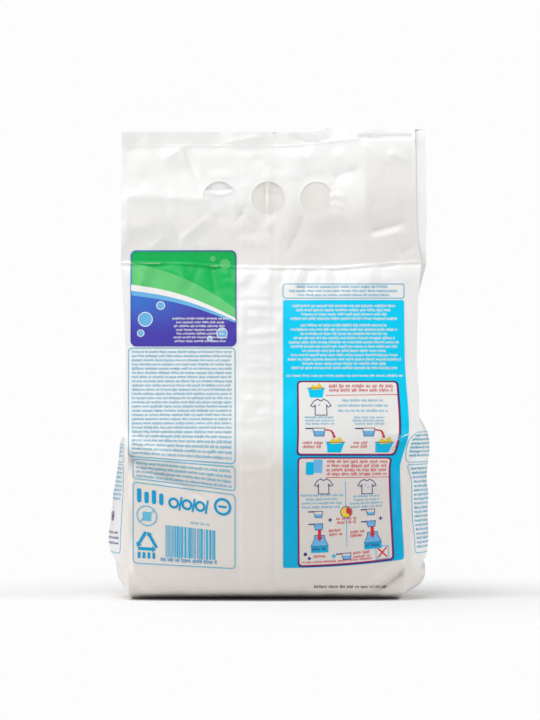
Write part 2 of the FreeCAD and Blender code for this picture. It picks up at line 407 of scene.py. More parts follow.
def relief(x, z, share):
    """How far the printed panel's film stands out of its smooth form."""
    height = np.zeros_like(x)
    for start, end, width, rise in FLAP_CREASES + tuple(SMALL_CREASES):
        height += crease(x, z, start, end, width, 2.0 * rise)
    for start, end, width, rise in BODY_CREASES + tuple(PUCKERS):
        height += crease(x, z, start, end, width, rise, sharp=False)
    for centre, radius_x, radius_z, rise in FLAP_BUMPS + BODY_BUMPS + tuple(SMALL_BUMPS):
        height += bump(x, z, centre, radius_x, radius_z, rise)
    above_seal = z - SEAL_HEIGHT - seal_rise(x)
    uneven = 1 + 0.25 * np.sin(x / 3.1) + 0.25 * np.sin(x / 7.7)
    height += uneven * bell(0, 0.8, above_seal)
    height -= 0.45 * uneven * bell(-2.0, 1.2, above_seal)
    height += 0.5 * bell(-9, 7.0, above_seal) * np.sin(x / 9.0 + 0.6)
    for centre_x, centre_z in TAB_PLACES:
        from_rim = np.hypot(x - centre_x, z - centre_z) - TAB_RADIUS
        height += 0.4 * bell(0, 0.7, from_rim) * ramp(-10, 2, z - centre_z)
    height += 0.4 * window(SEAM_LEFT, SEAM_RIGHT, 0.6, x)
    above_weld_foot = z - weld_foot(x)
    height += 0.5 * bell(0, 0.6, above_weld_foot)
    height -= 2.6 * bell(0.8, 1.1, above_weld_foot) * window(61, 93, 3, x)
    inside_edges = ramp(0, 0.018, share) * (1 - ramp(0.982, 1, share))
    return height * inside_edges * ramp(0, 3, z)


def back_depth(x, z):
    """Y of the printed panel."""
    edges = section(z)
    form = section(z - seal_rise(x) * bell(SEAL_HEIGHT, 16, z))
    share = np.clip((x - edges["left"]) / (edges["right"] - edges["left"]), 0, 1)
    gap = form["left_gap"] + (form["right_gap"] - form["left_gap"]) * share
    swell = 4 * form["arch"] * share * (1 - share)
    return lean(x, z) - gap - swell - relief(x, z, share)


def panel_rows():
    """Heights of the mesh's rows, closer together at the foot, the seal and the weld."""
    rows = [0.0]
    while rows[-1] < BAG_HEIGHT - 0.5 * CELL:
        fine = [step for low, high, step in FINE_ROWS if low < rows[-1] < high]
        rows.append(rows[-1] + (fine[0] if fine else CELL))
    rows[-1] = BAG_HEIGHT
    return np.array(rows)


ROWS = panel_rows()
COLUMNS = int(round(PANEL_WIDTH / CELL)) + 1
ROW_LEVELS = section(ROWS)
ROW_LEFT = ROW_LEVELS["left"]
ROW_WIDTH = ROW_LEVELS["right"] - ROW_LEVELS["left"]
PANEL_X = ROW_LEFT[:, None] + ROW_WIDTH[:, None] * np.linspace(0, 1, COLUMNS)[None, :]
PANEL_Z = np.repeat(ROWS[:, None], COLUMNS, axis=1)
PANEL_DEPTH = back_depth(PANEL_X, PANEL_Z)
PANEL_TOP = PANEL_Z + top_rise(PANEL_X, PANEL_Z)


def mesh_depth(x, z):
    """Y of the printed panel's mesh, between the points of its grid."""
    row = np.clip(np.interp(z, ROWS, np.arange(len(ROWS))), 0, len(ROWS) - 1.001)
    left = np.interp(z, ROWS, ROW_LEFT)
    width = np.interp(z, ROWS, ROW_WIDTH)
    column = np.clip((x - left) / width, 0, 1) * (COLUMNS - 1)
    column = np.clip(column, 0, COLUMNS - 1.001)
    low = row.astype(int)
    first = column.astype(int)
    up = row - low
    across = column - first
    below = PANEL_DEPTH[low, first] * (1 - across) + PANEL_DEPTH[low, first + 1] * across
    above = PANEL_DEPTH[low + 1, first] * (1 - across) + PANEL_DEPTH[low + 1, first + 1] * across
    return below * (1 - up) + above * up


def side_relief(side, y, z):
    """Soft folds of a gusset where it swells out."""
    height = 0.9 * np.sin(z / 7.5 + y / 12.0 + side) * ramp(60, 100, z)
    height += bump(y, z, (-20, 96), 12, 7, 1.6)
    height += bump(y, z, (-10, 22), 16, 10, -1.2)
    height += crease(y, z, (-34, 30), (4, 8), 4.0, 1.4, sharp=False)
    height += crease(y, z, (-60, 16), (30, 28), 2.2, -1.6, sharp=False)
    height += crease(y, z, (-30, 78), (20, 60), 5.0, 0.7, sharp=False)
    return height


def gusset_points(side, across, z, lift=0.0):
    """Points of a gusset: side is -1 for the left one, and across runs from -1 at the back to 1."""
    level = section(z)
    name = "left" if side < 0 else "right"
    fold = level[name + "_fold"]
    gap = level[name + "_gap"]
    swollen = ramp(-8, 6, fold * side)
    power = 1.12 + 0.8 * swollen
    x = level[name] + level["shift"] * (across + 1) / 2
    x = x + fold * (1 - np.abs(across) ** power)
    x = x + side * side_relief(side, gap * across, z) * (1 - across**4) * swollen
    y = lean(x, z) + gap * across
    behind_panel = back_depth(x, z) + 0.5 * ramp(0, 0.12, 1 - np.abs(across))
    y = np.where(swollen < 1, np.maximum(y, behind_panel), y)
    return np.stack([x + side * lift, y, z], axis=-1)


def front_points(x_share, z, lift=0.0):
    """Points of the unprinted front panel, by the share of its width from the left."""
    level = section(z)
    x = level["left"] + level["shift"] + (level["right"] - level["left"]) * x_share
    gap = level["left_gap"] + (level["right_gap"] - level["left_gap"]) * x_share
    swell = 4 * level["arch"] * x_share * (1 - x_share)
    height = np.zeros_like(x)
    for start, end, width, rise in FRONT_CREASES:
        height += crease(x, z, start, end, width, abs(rise))
    height *= ramp(0, 0.03, x_share) * (1 - ramp(0.97, 1, x_share)) * ramp(0, 3, z)
    return np.stack([x, lean(x, z) + gap + swell + height + lift, z + top_rise(x, z)], axis=-1)


# Materials


def add_node(nodes, kind, values=None):
    """A new shader node, with the given values on its inputs."""
    node = nodes.new("ShaderNode" + kind)
    for name, value in (values or {}).items():
        node.inputs[name].default_value = value
    return node


def film_material(name, colour, unevenness, crinkle=0.35, depth=0.2, zones=(), shine=0.5):
    """Glossy film or ink, a little uneven and finely crinkled.

    Each zone changes the colour where the bag's x or z lies within some bounds:
    its bounds are (axis, from, to), in millimetres, over which it fades in.
    """
    material = bpy.data.materials.new(name)
    material.use_nodes = True
    nodes = material.node_tree.nodes
    links = material.node_tree.links
    shader = nodes["Principled BSDF"]
    shader.inputs["Specular IOR Level"].default_value = shine
    place = add_node(nodes, "TexCoord")
    axes = add_node(nodes, "SeparateXYZ")
    links.new(place.outputs["Object"], axes.inputs["Vector"])
    clouds = add_node(nodes, "TexNoise", {"Scale": 14.0, "Detail": 3.0})
    links.new(place.outputs["Object"], clouds.inputs["Vector"])
    tint = add_node(nodes, "Mix")
    tint.data_type = "RGBA"
    tint.blend_type = "MULTIPLY"
    tint.inputs["A"].default_value = (*colour, 1)
    tint.inputs["B"].default_value = (1 - unevenness, 1 - unevenness, 1 - unevenness, 1)
    links.new(clouds.outputs["Fac"], tint.inputs["Factor"])
    links.new(tint.outputs["Result"], shader.inputs["Base Color"])
    before = None
    for bounds, zone_colour in zones:
        share = None
        for axis, start, end in bounds:
            fade = add_node(nodes, "MapRange", {"From Min": start * MM, "From Max": end * MM})
            fade.interpolation_type = "SMOOTHSTEP"
            links.new(axes.outputs[axis], fade.inputs["Value"])
            if share is not None:
                links.new(share, fade.inputs["To Max"])
            share = fade.outputs["Result"]
        change = add_node(nodes, "Mix")
        change.data_type = "RGBA"
        change.inputs["B"].default_value = (*zone_colour, 1)
        links.new(share, change.inputs["Factor"])
        if before is None:
            change.inputs["A"].default_value = (*colour, 1)
        else:
            links.new(before, change.inputs["A"])
        before = change.outputs["Result"]
    if before is not None:
        links.new(before, tint.inputs["A"])
    gloss = add_node(nodes, "MapRange", {"To Min": 0.24, "To Max": 0.40})
    links.new(clouds.outputs["Fac"], gloss.inputs["Value"])
    links.new(gloss.outputs["Result"], shader.inputs["Roughness"])
    wrinkles = add_node(nodes, "TexNoise", {"Scale": 55.0, "Detail": 2.0})
    wrinkles.noise_type = "RIDGED_MULTIFRACTAL"
    links.new(place.outputs["Object"], wrinkles.inputs["Vector"])
    bumps = add_node(nodes, "Bump", {"Strength": crinkle, "Distance": depth * MM})
    links.new(wrinkles.outputs["Fac"], bumps.inputs["Height"])
    links.new(bumps.outputs["Normal"], shader.inputs["Normal"])
    return material


# The film's colour holds painted shade. Below the seal it is darker on the slope under the seal
# and a little less dark lower down, as painted shade. Where powder lies behind it, it is warmer
# and also darker as painted shade. At the foot the gussets take the same warm, darkened colour,
# as painted shade near the floor. The gussets below their tucks are darkened as painted shade,
# the left one more than the right. In the flap the film is duller where the flap's gussets and
# lap lie behind it, and darker below its ridge as painted shade.
WHITE_FILM = from_srgb(248, 248, 247)
BODY_TINTS_AND_PAINTED_SHADE = (
    # Painted shade: darker on the slope under the seal, a little less dark below it
    ((("Z", 217, 205),), from_srgb(235, 235, 235)),
    ((("Z", 175, 135),), from_srgb(240, 240, 239)),
    # Warmer where powder lies behind the film, and darker as painted shade
    ((("Z", 108, 82),), from_srgb(223, 217, 212)),
    # Painted shade on the gussets below their tucks, darker on the left than the right
    ((("Z", 120, 90), ("X", 90, 96)), from_srgb(238, 237, 237)),
    ((("Z", 120, 90), ("X", -91, -97)), from_srgb(226, 225, 225)),
    # Painted shade at the foot, near the floor, warm like the powder
    ((("Z", 34, 8),), from_srgb(222, 216, 211)),
)
FLAP_LAYERS_AND_PAINTED_SHADE = (
    # Painted shade in the lower flap, below its ridge, where it faces down
    ((("Z", 216, 218), ("Z", 264, 236)), from_srgb(243, 240, 238)),
    ((("Z", 216, 218), ("X", 11, 18), ("Z", 268, 238)), from_srgb(238, 235, 232)),
    ((("Z", 216, 218), ("X", 61.5, 65.5), ("Z", 312, 250)), from_srgb(236, 233, 230)),
    ((("Z", 292, 295),), from_srgb(250, 250, 249)),
    ((("Z", 296, 298), ("X", 26, 34)), from_srgb(249, 249, 249)),
)
FILM = film_material("film_white", WHITE_FILM, 0.03, 0.6, 0.6, BODY_TINTS_AND_PAINTED_SHADE)
BACK_FILM = film_material("film_printed_back", WHITE_FILM, 0.03, 0.6, 0.6, BODY_TINTS_AND_PAINTED_SHADE + FLAP_LAYERS_AND_PAINTED_SHADE)
# Duller, beige film for the pushed-in tabs: painted shade
TAB_FILM_PAINTED_SHADE = film_material("film_tabs_painted_shade", from_srgb(238, 235, 231), unevenness=0.05)

# The inks. Cyan is darker lower down, as painted shade; white is warmer where powder lies behind
# it and darker there as painted shade; violet turns blue at the label's blue end, as printed.
INK_COLOURS = {
    "teal": (100, 184, 216),
    "blue": (22, 153, 203),
    "cyan": (0, 206, 246),
    "white": (238, 237, 235),
    "green": (24, 184, 90),
    "leaf": (98, 200, 118),
    "violet": (74, 64, 170),
    "sky": (108, 180, 228),
    "navy": (66, 56, 126),
    "red": (208, 46, 56),
    "yellow": (238, 206, 60),
    "black": (44, 46, 52),
}
INK_TINTS_AND_PAINTED_SHADE = {
    # Painted shade: the blue field darker lower down
    "cyan": (((("Z", 124, 70),), from_srgb(0, 172, 218)),),
    # Warmer where powder lies behind, and darker as painted shade
    "white": (((("Z", 108, 82),), from_srgb(219, 213, 209)),),
    "violet": (((("X", -35, -85), ("Z", 168, 196)), from_srgb(64, 116, 206)),),
}
INKS = {}
for ink, colour in INK_COLOURS.items():
    zones = INK_TINTS_AND_PAINTED_SHADE.get(ink, ())
    INKS[ink] = film_material("ink_" + ink, from_srgb(*colour), 0.06, zones=zones, shine=0.2)
printed = {ink: {"points": [], "faces": [], "count": 0} for ink in INKS}


# Meshes


def new_piece(name, points, faces, material):
    """Make an object of the bag from points in millimetres."""
    mesh = bpy.data.meshes.new(name)
    mesh.from_pydata((np.asarray(points) * MM).tolist(), [], faces)
    mesh.update()
    mesh.polygons.foreach_set("use_smooth", [True] * len(mesh.polygons))
    mesh.materials.append(material)
    piece = bpy.data.objects.new(name, mesh)
    bpy.context.scene.collection.objects.link(piece)
    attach(piece, "root")
    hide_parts("powder_bag")
    return piece


def grid_faces(rows, columns, first=0, keep=None):
    """Quads between the points of a grid, counter-clockwise as its columns and rows run."""
    row, column = np.meshgrid(np.arange(rows - 1), np.arange(columns - 1), indexing="ij")
    corner = first + row * columns + column
    faces = np.stack([corner, corner + 1, corner + columns + 1, corner + columns], axis=-1)
    return faces[keep].tolist() if keep is not None else faces.reshape(-1, 4).tolist()


def rim_radius(angle):
    """The cut edge of a finger tab, with the small teeth of its perforation."""
    teeth = 48
    tooth = 0.35
    rise = np.abs((angle * teeth / (2 * math.pi)) % 1 - 0.5) * 2
    return TAB_RADIUS + tooth * (rise - 0.5) * np.cos(angle) ** 2


def make_back_panel():
    """The printed panel, with round holes where the finger tabs are cut."""
    keep = np.ones((len(ROWS) - 1, COLUMNS - 1), dtype=bool)
    points = [np.stack([PANEL_X, PANEL_DEPTH, PANEL_TOP], axis=-1).reshape(-1, 3)]
    faces = []
    count = PANEL_X.size
    rings = 6
    for centre_x, centre_z in TAB_PLACES:
        reach = TAB_RADIUS + 3
        low_row = np.searchsorted(ROWS, centre_z - reach) - 1
        top_row = np.searchsorted(ROWS, centre_z + reach)
        middle = PANEL_X[(low_row + top_row) // 2]
        left = np.searchsorted(middle, centre_x - reach) - 1
        right = np.searchsorted(middle, centre_x + reach)
        keep[low_row:top_row, left:right] = False
        loop = [(low_row, column) for column in range(left, right)]
        loop += [(row, right) for row in range(low_row, top_row)]
        loop += [(top_row, column) for column in range(right, left, -1)]
        loop += [(row, left) for row in range(top_row, low_row, -1)]
        outer = np.array([(PANEL_X[place], PANEL_Z[place]) for place in loop])
        angle = np.arctan2(outer[:, 1] - centre_z, outer[:, 0] - centre_x)
        radius = rim_radius(angle)
        inner_x = centre_x + radius * np.cos(angle)
        inner_z = centre_z + radius * np.sin(angle)
        outside = [row * COLUMNS + column for row, column in loop]
        for ring in range(1, rings + 1):
            part = ring / rings
            x = outer[:, 0] + (inner_x - outer[:, 0]) * part
            z = outer[:, 1] + (inner_z - outer[:, 1]) * part
            points.append(np.stack([x, back_depth(x, z), z], axis=-1))
            inside = list(range(count, count + len(loop)))
            count += len(loop)
            for i in range(len(loop)):
                after = (i + 1) % len(loop)
                faces.append((outside[i], outside[after], inside[after], inside[i]))
            outside = inside
    faces += grid_faces(len(ROWS), COLUMNS, keep=keep)
    return new_piece("film_back_panel", np.concatenate(points), faces, BACK_FILM)


def make_tab(name, centre, push, fold, peak, material):
    """A round tab, hinged at its foot and pushed in at its top.

    fold lifts a crosswise crease near its top, and peak an upright one at its middle.
    """
    rings = 20
    around = 96
    angle = np.linspace(0, 2 * math.pi, around, endpoint=False)
    radius = np.linspace(0, 1, rings + 1)[1:, None] * (TAB_RADIUS + 0.5)
    x = np.append(centre[0], (centre[0] + radius * np.cos(angle)[None, :]).ravel())
    z = np.append(centre[1], (centre[1] + radius * np.sin(angle)[None, :]).ravel())
    panel = back_depth(x, z)
    across = x - centre[0]
    rise = z - centre[1]
    up = np.clip((rise + TAB_RADIUS) / (2 * TAB_RADIUS), 0, 1)
    depth = 0.03 + push * up**1.6
    depth -= fold * bell(2.0, 1.1, rise - 0.03 * across**2) * (1 - (across / 12) ** 2)
    depth += fold * 0.9 * bell(5.2, 1.5, rise - 0.02 * across**2)
    depth -= peak * np.exp(-np.abs(across) / 0.6) * ramp(-12, 0, rise)
    depth += 0.12 * np.sin(across * 0.55 + z * 0.3) * up
    faces = []
    for i in range(around):
        after = (i + 1) % around
        faces.append((0, 1 + i, 1 + after))
        for ring in range(rings - 1):
            low = 1 + ring * around
            faces.append((low + i, low + around + i, low + around + after, low + after))
    return new_piece(name, np.stack([x, panel + depth, z], axis=-1), faces, material)


def make_other_sides():
    """Gussets, front panel, base and top edge, each a grid, in one mesh."""
    rows = ROWS[::2]
    if rows[-1] < BAG_HEIGHT:
        rows = np.append(rows, BAG_HEIGHT)
    points = []
    faces = []

    def add_grid(grid, turned):
        height, width = grid.shape[:2]
        quads = grid_faces(height, width, first=sum(len(part) for part in points))
        faces.extend([quad[::-1] for quad in quads] if turned else quads)
        points.append(grid.reshape(-1, 3))

    across, z = np.meshgrid(np.linspace(-1, 1, int(2 * GUSSET_HALF / SIDE_CELL) + 1), rows)
    add_grid(gusset_points(1, across, z), False)
    add_grid(gusset_points(-1, across, z), True)
    share, z = np.meshgrid(np.linspace(0, 1, int(PANEL_WIDTH / SIDE_CELL) + 1), rows)
    add_grid(front_points(share, z), True)
    share, across = np.meshgrid(share[0], np.linspace(-1, 1, 25))
    foot = section(np.zeros_like(share))
    x = foot["left"] + (foot["right"] - foot["left"]) * share
    y = across * (foot["left_gap"] + 4 * foot["arch"] * share * (1 - share))
    tucked = 0.5 * (1 - across**4) * (1 - (2 * share - 1) ** 8)
    folded = np.exp(-((np.minimum(share, 1 - share) * 9 - 1.5 + np.abs(across)) ** 2) * 60)
    add_grid(np.stack([x, y, tucked + 0.5 * folded * tucked], axis=-1), True)
    front_top = front_points(np.linspace(0, 1, COLUMNS), np.full(COLUMNS, BAG_HEIGHT))
    back_top = np.stack([PANEL_X[-1], PANEL_DEPTH[-1], PANEL_TOP[-1]], axis=-1)
    add_grid(np.stack([back_top, front_top]), False)
    return new_piece("film_gussets_and_front", np.concatenate(points), faces, FILM)


# Print. Places on the printed back are in millimetres as the camera sees them
# at the bag's middle plane, and each is put on the film behind it.


def bend_print(x, z):
    """Bend the flat artwork the way the folds of the filled bag bend it."""
    left_slope = -0.127 * (1 - ramp(74, 112, z)) * (0.45 + 0.55 * ramp(22, 60, z))
    right_slope = 0.075 * (1 - ramp(24, 92, z)) * ramp(8, 20, z)
    right_pull = smooth_curve((20, 83, 109, 154, 194), (0, -2.6, 3.3, 0.6, 0), z)
    across = np.clip((x - 10) / 79, 0, 1.2)
    up = np.where(x < -15, left_slope * (x + 88), right_slope * 79 * across**2)
    return x + right_pull * across, z + up


def on_back(x, z, lift):
    """Points on the printed panel behind places that the camera sees."""
    seen_x, seen_z = bend_print(x, z)
    place_x = seen_x
    place_z = seen_z
    for _ in range(3):
        nearer = (CAMERA_DISTANCE + mesh_depth(place_x, place_z)) / CAMERA_DISTANCE
        place_x = CAMERA_SIDE + (seen_x - CAMERA_SIDE) * nearer
        place_z = CAMERA_HEIGHT + (seen_z - CAMERA_HEIGHT) * nearer
    return np.stack([place_x, mesh_depth(place_x, place_z) - lift, place_z], axis=-1)


def on_right_gusset(y, z, lift):
    return gusset_points(1, y / section(z)["right_gap"], z, lift)


def on_left_gusset(y, z, lift):
    return gusset_points(-1, -y / section(z)["left_gap"], z, lift)


def on_front(x, z, lift):
    """Points on the front panel, with x as seen from the front."""
    level = section(z)
    share = (-x - level["left"]) / (level["right"] - level["left"])
    return front_points(np.clip(share, 0, 1), z, lift)


class Press:
    """Prints simple shapes on one side of the bag."""

    def __init__(self, place):
        self.place = place

    def add(self, ink, x, z, layer, faces):
        """Put points on this side, with faces numbered from the first of them."""
        sheet = printed[ink]
        sheet["faces"] += (np.asarray(faces) + sheet["count"]).tolist()
        sheet["points"].append(self.place(x, z, PRINT_LIFTS[layer]))
        sheet["count"] += len(x)

    def grid(self, ink, x, z, layer):
        """Print a grid of points as one smooth sheet."""
        self.add(ink, x.ravel(), z.ravel(), layer, grid_faces(*x.shape))

    def quads(self, ink, corners, layer):
        """Print separate shapes of four corners."""
        corners = np.asarray(corners, dtype=float).reshape(-1, 2)
        faces = np.arange(len(corners)).reshape(-1, 4)
        self.add(ink, corners[:, 0], corners[:, 1], layer, faces)

    def field(self, ink, left, low, right, high, radius=0.0, layer=0, cell=1.2):
        """A filled box with round corners."""
        rows = np.linspace(low, high, max(1, math.ceil((high - low) / cell)) + 1)
        inset = np.zeros_like(rows)
        if radius:
            corner = low + radius * (1 - np.cos(np.linspace(0, math.pi / 2, 5)))
            rows = np.unique(np.concatenate([rows, corner, low + high - corner]))
            into = np.clip(1 - np.minimum(rows - low, high - rows) / radius, 0, 1)
            inset = radius * (1 - np.sqrt(1 - into**2))
        share = np.linspace(0, 1, max(1, math.ceil((right - left) / cell)) + 1)
        x = (left + inset)[:, None] + (right - left - 2 * inset)[:, None] * share[None, :]
        self.grid(ink, x, np.repeat(rows[:, None], len(share), axis=1), layer)

    def band(self, ink, left, right, low_curve, high_curve, layer=1, cell=1.2):
        """A field between two curves, each a function of x."""
        columns = np.linspace(left, right, math.ceil((right - left) / cell) + 1)
        low = low_curve(columns)
        high = high_curve(columns)
        share = np.linspace(0, 1, max(1, math.ceil(np.max(high - low) / cell)) + 1)
        z = low[None, :] + (high - low)[None, :] * share[:, None]
        self.grid(ink, np.repeat(columns[None, :], len(share), axis=0), z, layer)

    def line(self, ink, points, width, layer=1, closed=False):
        """A line of even width along points."""
        points = list(points) + ([points[0]] if closed else [])
        quads = []
        for start, end in zip(points[:-1], points[1:]):
            start = Vector(start)
            end = Vector(end)
            along = (end - start).normalized()
            side = Vector((-along.y, along.x)) * width / 2
            start = start - along * width * 0.35
            end = end + along * width * 0.35
            parts = max(1, math.ceil((end - start).length / 2))
            for part in range(parts):
                a = start.lerp(end, part / parts)
                b = start.lerp(end, (part + 1) / parts)
                quads.append([a - side, b - side, b + side, a + side])
        self.quads(ink, quads, layer)

    def box(self, ink, left, low, right, high, radius, width, layer=1):
        """The outline of a box with round corners."""
        centres = (
            (right - radius, low + radius, -90),
            (right - radius, high - radius, 0),
            (left + radius, high - radius, 90),
            (left + radius, low + radius, 180),
        )
        points = []
        for x, z, turn in centres:
            for step in range(6):
                angle = math.radians(turn + 18 * step)
                points.append((x + radius * math.cos(angle), z + radius * math.sin(angle)))
        self.line(ink, points, width, layer, closed=True)

    def ring(self, ink, x, z, radius, width, layer=1):
        angles = [math.radians(15 * step) for step in range(24)]
        points = [(x + radius * math.cos(a), z + radius * math.sin(a)) for a in angles]
        self.line(ink, points, width, layer, closed=True)

    def disc(self, ink, x, z, radius, layer=1):
        self.field(ink, x - radius, z - radius, x + radius, z + radius, radius, layer, cell=0.8)

    def shape(self, ink, points, layer=1):
        """A filled polygon, in small triangles that follow the film."""
        corners = [Vector((x, z, 0)) for x, z in points]
        quads = []
        for indices in tessellate_polygon([corners]):
            a, b, c = (corners[i].to_2d() for i in indices)
            if (b - a).cross(c - a) < 0:
                b, c = c, b
            parts = max(1, math.ceil(max((b - a).length, (c - a).length, (c - b).length) / 1.6))
            along = (b - a) / parts
            up = (c - a) / parts
            for row in range(parts):
                for step in range(parts - row):
                    first = a + along * step + up * row
                    last = first + along + up if step < parts - row - 1 else first + up
                    quads.append([first, first + along, last, first + up])
        self.quads(ink, quads, layer)

    def words(self, ink, left, right, top, rows, pitch, size, layer=1, weight=0.26, centred=False):
        """Rows of small upright marks in groups, which spell nothing."""
        quads = []
        for row in range(rows):
            foot = top - size - row * pitch
            indent = chance.uniform(0, 0.14) * (right - left) if centred else 0.0
            x = left + indent
            end = right - indent
            while x < end - 1.0:
                group_end = min(end, x + chance.uniform(2.2, 8.5))
                while x < group_end - 0.3:
                    rise = size * chance.choice((1.0, 1.0, 1.0, 1.35))
                    drop = size * chance.choice((0.0, 0.0, 0.3))
                    wide = weight * chance.uniform(0.8, 1.3)
                    low = foot - drop
                    high = foot + rise
                    quads.append([(x, low), (x + wide, low), (x + wide, high), (x, high)])
                    x += wide + chance.uniform(0.7, 1.1) * weight
                x += 2.6 * weight
        self.quads(ink, quads, layer)


# Small pictures of washing. Each is drawn about its centre.


def placed(outline, x, z, size):
    """An outline about one unit across, enlarged and moved to its place."""
    return [(x + size * a, z + size * b) for a, b in outline]


def shirt(press, x, z, size, marks=0):
    """A shirt, with a few marks where it is stained."""
    outline = (
        (-0.16, 0.50), (-0.42, 0.38), (-0.62, 0.08), (-0.44, 0.00), (-0.34, 0.14),
        (-0.36, -0.50), (0.36, -0.50), (0.34, 0.14), (0.44, 0.00), (0.62, 0.08),
        (0.42, 0.38), (0.16, 0.50), (0.06, 0.40), (-0.06, 0.40),
    )
    press.line("navy", placed(outline, x, z, size), 0.5, 5, closed=True)
    for mark in range(marks):
        spot = (x + size * (0.16 * mark - 0.15), z + size * (0.1 - 0.2 * mark))
        press.line("sky", [spot, (spot[0] + 1.0, spot[1] + 0.9)], 0.5, 4)


def cup(press, x, z, size, full):
    """A measuring cup with its handle on the left, filled to a share of its height."""
    sides = ((-0.42, 0.3), (0.5, 0.3), (0.42, -0.32), (-0.28, -0.32))
    level = -0.32 + 0.62 * full
    spread = 0.14 * full
    powder = ((-0.28 - spread, level), (0.42 + spread / 2, level), (0.42, -0.32), (-0.28, -0.32))
    press.shape("sky", placed(powder, x, z, size), 4)
    press.line("navy", placed(sides, x, z, size), 0.4, 5, closed=True)
    press.line("navy", placed(((-0.95, 0.27), (-0.42, 0.27)), x, z, size), 0.75, 5)


def basin(press, x, z, size):
    """A basin of water with yellow washing in it."""
    body = ((-0.5, 0.22), (0.5, 0.22), (0.38, -0.38), (-0.38, -0.38))
    cloth = (
        (-0.36, 0.2), (-0.2, 0.42), (0.02, 0.3), (0.2, 0.52), (0.4, 0.26), (0.3, 0.14), (-0.2, 0.1),
    )
    press.shape("cyan", placed(body, x, z, size), 4)
    press.shape("yellow", placed(cloth, x, z, size), 5)
    press.line("navy", placed(((-0.52, 0.2), (0.52, 0.2)), x, z, size), 0.35, 6)


def drum(press, x, z, size):
    """A top-loading machine with a dark foot."""
    top = ((-0.28, 0.5), (0.28, 0.5), (0.3, 0.3), (0.5, -0.12), (-0.5, -0.12), (-0.3, 0.3))
    foot = ((-0.5, -0.12), (0.5, -0.12), (0.5, -0.5), (-0.5, -0.5))
    press.shape("sky", placed(top, x, z, size), 4)
    press.shape("cyan", placed(foot, x, z, size), 4)
    press.line("navy", placed(top, x, z, size), 0.35, 5, closed=True)
    press.words("navy", x - 0.46 * size, x + 0.5 * size, z - 0.22 * size, 1, 1.0, 1.5, 5, 0.4)


def arrow(press, start, end, width):
    """A red arrow, with a head as wide as two of its shafts."""
    start = Vector(start)
    end = Vector(end)
    along = (end - start).normalized()
    side = Vector((-along.y, along.x)) * width
    neck = end - along * width * 1.5
    press.line("red", [start, neck], width, 6)
    press.shape("red", [tuple(neck - side), tuple(end), tuple(neck + side)], 6)


def plus(press, ink, x, z, size):
    press.line(ink, [(x - size, z), (x + size, z)], 0.7 * size, 4)
    press.line(ink, [(x, z - size), (x, z + size)], 0.7 * size, 4)


def print_label(press):
    """A coloured label: green over violet, with a slanting white stripe and bubbles."""
    left, low, right, high, radius = -89.3, 163.7, -20.9, 225.6, 3.4
    press.field("green", left, low, right, high, radius, 0, cell=0.6)

    def corner(x):
        into = np.clip(1 - np.minimum(x - left, right - x) / radius, 0, 1)
        return radius * (1 - np.sqrt(1 - into**2))

    def slant(rise, bow):
        def curve(x):
            part = (x - left) / (right - left)
            return low + rise * (1 - 0.55 * part) + bow * np.sin(math.pi * part)

        return curve

    def foot(x):
        return low + corner(x) + 0.05

    press.band("leaf", left, right, slant(40, 3.5), slant(54, 5.0), 1)
    press.band("violet", left, right, foot, slant(34, 3.0), 1)
    press.band("sky", left, right, slant(33, 3.0), slant(36.5, 3.5), 2)
    press.band("white", left, right, slant(36, 3.5), slant(40, 4.0), 3)
    bubbles = (
        (-80, 181, 4.6), (-70, 190, 2.6), (-83, 172, 2.2), (-30, 172, 3.4), (-38, 168.5, 1.6),
    )
    for x, z, size in bubbles:
        press.disc("sky", x, z, size, 2)
        press.ring("white", x, z, size, 0.5, 3)
    press.words("white", -64, -24, 182, 7, 2.45, 1.0, 3, centred=True)
    press.box("violet", left, low, right, high, radius, 0.7, 3)
    press.disc("leaf", -28, 217, 3.4, 1)
    press.disc("leaf", -36, 220.5, 1.8, 1)


def print_left_column(press):
    """Boxes of fine print, a row of bold marks, signs and a field of bars."""
    press.box("teal", -91.0, 91.5, -21.5, 162.3, 2.4, 0.6)
    press.words("teal", -88.8, -23.5, 160.4, 25, 2.74, 1.15, weight=0.22)
    press.box("teal", -88.0, 77.5, -21.5, 90.0, 2.0, 0.6)
    press.words("teal", -86.0, -23.5, 88.2, 4, 2.7, 1.15, weight=0.22)
    press.box("teal", -88.0, 22.2, -21.5, 75.0, 2.4, 0.6)
    for step in range(4):
        x = -85.4 + 4.8 * step
        press.field("blue", x, 62.2, x + 2.8, 71.4 - 1.6 * (step % 2), 1.3, 1)
    for step in range(3):
        press.ring("blue", -61.5 + 8.6 * step, 64.6, 2.8, 1.5)
        press.line("blue", [(-57.8 + 8.6 * step, 60.6), (-56.4 + 8.6 * step, 68.8)], 1.2)
    press.ring("blue", -29.6, 66.2, 4.9, 1.6)
    press.field("blue", -32.4, 65.5, -26.8, 66.9, 0.5, 1)
    press.ring("teal", -79.0, 54.0, 6.4, 0.7)
    press.line("teal", [(-84.0, 49.5), (-74.0, 58.5)], 0.7)
    press.field("teal", -81.8, 50.6, -76.2, 56.6, 0.8, 1)
    triangle = ((-86.0, 32.0), (-72.0, 32.0), (-79.0, 44.4))
    for start, end in zip(triangle, triangle[1:] + triangle[:1]):
        near = Vector(start).lerp(Vector(end), 0.14)
        far = Vector(start).lerp(Vector(end), 0.74)
        press.line("blue", [near, far], 2.0)
        along = (Vector(end) - Vector(start)).normalized()
        side = Vector((-along.y, along.x)) * 2.1
        press.shape("blue", [tuple(far - side), tuple(far + along * 2.6), tuple(far + side)])
    for step in range(4):
        press.field("blue", -85.0 + 3.2 * step, 25.6, -83.2 + 3.2 * step, 29.8, 0.5, 1)
    press.words("teal", -50.5, -38.0, 53.6, 1, 3.0, 1.2, 1, 0.36)
    x = -66.8
    while x < -35.6:
        wide = chance.choice((0.4, 0.4, 0.8, 1.2))
        press.field("cyan", x, 27.4, x + wide, 49.4, 0, 1)
        x += wide + chance.choice((0.4, 0.5, 0.9))
    press.words("blue", -70.0, -33.0, 26.6, 1, 3.0, 1.9, 1, 0.36)


